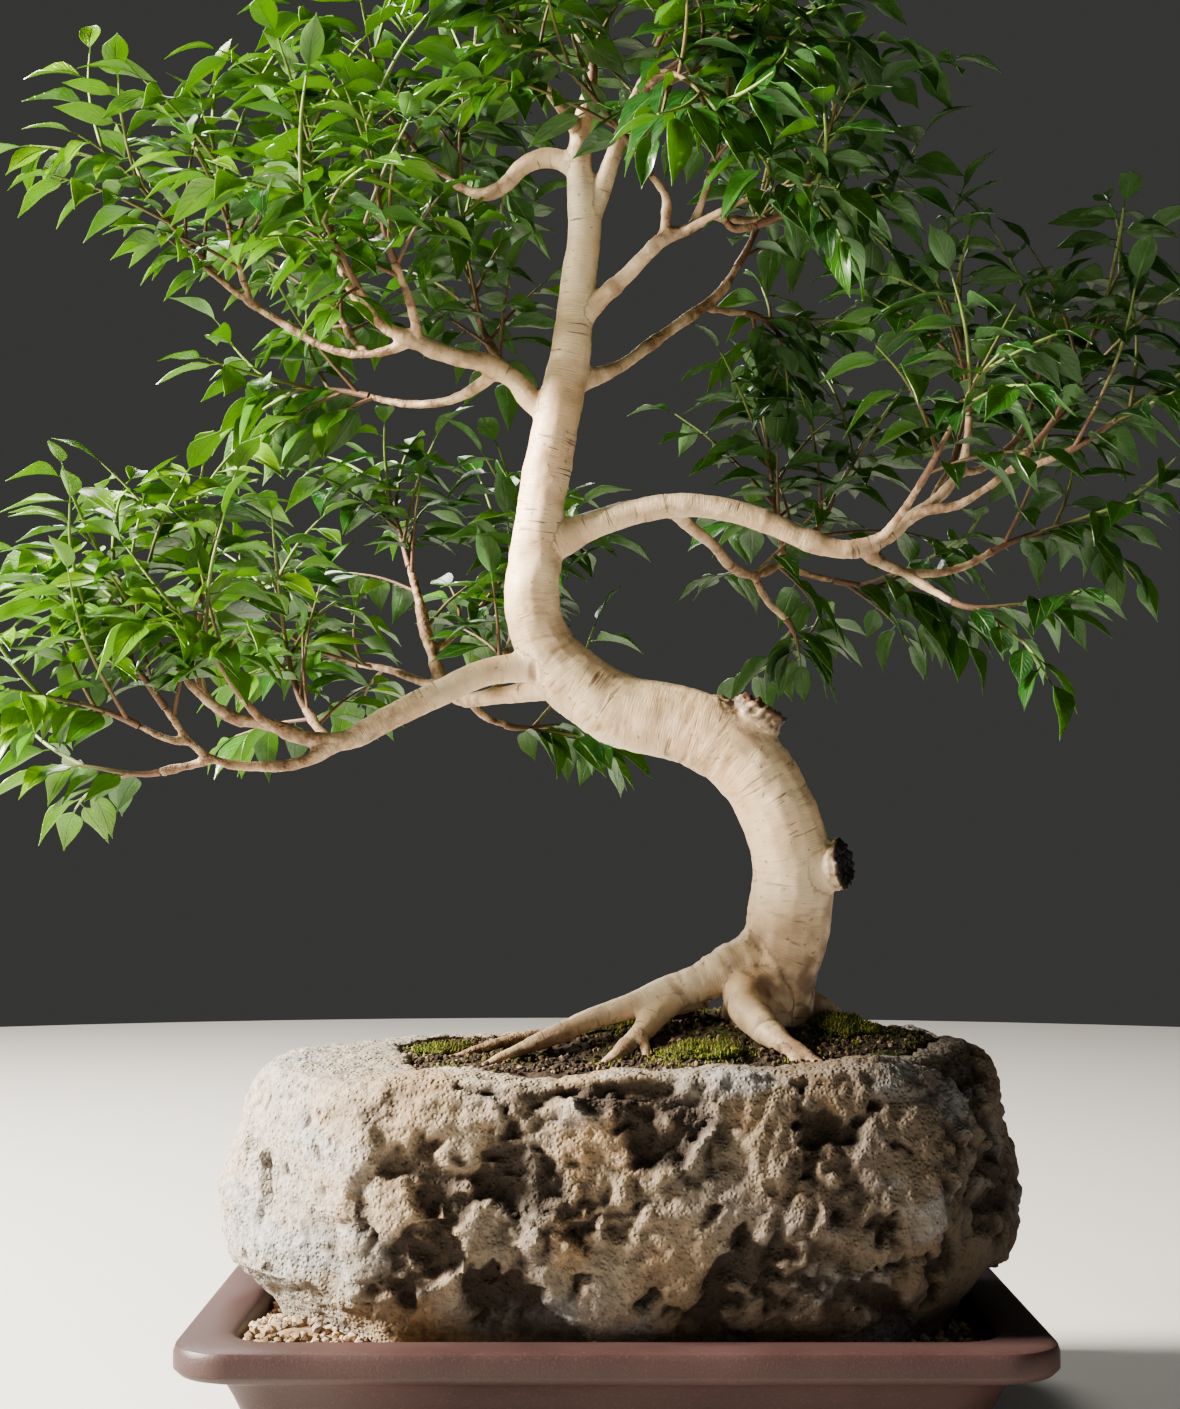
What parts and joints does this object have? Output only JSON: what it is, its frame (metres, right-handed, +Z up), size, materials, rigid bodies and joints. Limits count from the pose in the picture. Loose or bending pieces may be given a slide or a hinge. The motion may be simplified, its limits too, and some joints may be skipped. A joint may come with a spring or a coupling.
{
  "type": "birch bonsai",
  "caption": "Bonsai tree with a bent pale trunk and open leafy sprays, its roots gripping the soil on top of a rock that stands in a shallow clay tray of gravel.",
  "frame": {"origin": "on the ground under the middle of the whole object's box, so a few millimetres from the middle of the tray", "axes": "+X along the tray's long side to the right as seen from the front, +Y from the front to the back, +Z up"},
  "size_m": [0.6502, 0.3562, 0.7942],
  "materials": {
    "clay": "unglazed, smooth and matt",
    "mesh": "matt black plastic mesh",
    "grit": "dry tan gravel",
    "stone": "pitted, weathered grey and tan stone",
    "soil": "dark crumbly soil",
    "moss": "soft yellow-green moss",
    "bark": "smooth pale bark with fine dark wrinkles",
    "leaf": "smooth leaves with a soft sheen"
  },
  "bodies": {
    "root": {"pot": "clay", "drain_mesh_left": "mesh", "drain_mesh_right": "mesh", "gravel": "grit", "rock": "stone", "soil": "soil", "moss_left": "moss", "moss_middle": "moss", "moss_front": "moss", "moss_right": "moss", "moss_back": "moss", "trunk": "bark", "spray_leader": "leaf", "spray_lower_left": "leaf", "spray_back_left": "leaf", "spray_upper_left": "leaf", "spray_arch_left": "leaf", "spray_leader_right": "leaf", "spray_upper_right": "leaf", "spray_back_right": "leaf", "spray_right": "leaf", "spray_right_back": "leaf", "spray_lower_left_low": "leaf", "spray_lower_left_inner": "leaf", "spray_lower_left_side": "leaf", "spray_lower_left_back": "leaf", "spray_lower_left_front": "leaf", "spray_lower_left_far": "leaf", "spray_back_left_side": "leaf", "spray_back_left_low": "leaf", "spray_back_left_mid": "leaf", "spray_back_left_inner": "leaf", "spray_upper_left_far": "leaf", "spray_upper_left_low": "leaf", "spray_upper_left_rise": "leaf", "spray_upper_left_mid": "leaf", "spray_upper_left_front": "leaf", "spray_upper_left_back": "leaf", "spray_upper_left_inner": "leaf", "spray_arch_left_back": "leaf", "spray_leader_cross": "leaf", "spray_leader_droop": "leaf", "spray_leader_front": "leaf", "spray_leader_back": "leaf", "spray_leader_side": "leaf", "spray_leader_left": "leaf", "spray_upper_right_low": "leaf", "spray_upper_right_up": "leaf", "spray_upper_right_front": "leaf", "spray_back_right_side": "leaf", "spray_right_tall": "leaf", "spray_right_mid": "leaf", "spray_right_low": "leaf", "spray_right_far": "leaf", "spray_right_rear": "leaf", "spray_right_front": "leaf", "spray_right_hang": "leaf", "spray_right_back_out": "leaf", "spray_right_back_rear": "leaf", "spray_right_back_hang": "leaf"}
  },
  "joints": []
}
